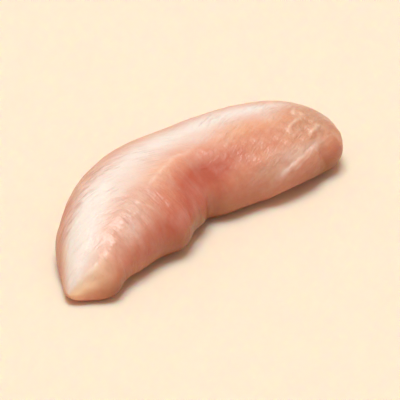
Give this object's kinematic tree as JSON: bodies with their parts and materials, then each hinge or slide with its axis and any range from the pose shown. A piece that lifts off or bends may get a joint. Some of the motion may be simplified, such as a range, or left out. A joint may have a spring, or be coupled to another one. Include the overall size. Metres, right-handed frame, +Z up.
{
  "type": "raw chicken tenderloin",
  "caption": "Raw chicken tenderloin, a long curved strip of pale pink meat with a thin tip and a blunt end, lying on its flat underside.",
  "frame": {"origin": "centre of the bounding box's bottom face, on the surface that the tenderloin lies on", "axes": "+X from the thin tip to the blunt end, +Y to the outer side of the bend, +Z up"},
  "size_m": [0.13, 0.0522, 0.025],
  "materials": {
    "flesh": "moist raw flesh, pale pink, with a thin shiny membrane"
  },
  "bodies": {
    "root": {"tenderloin": "flesh"}
  },
  "joints": []
}
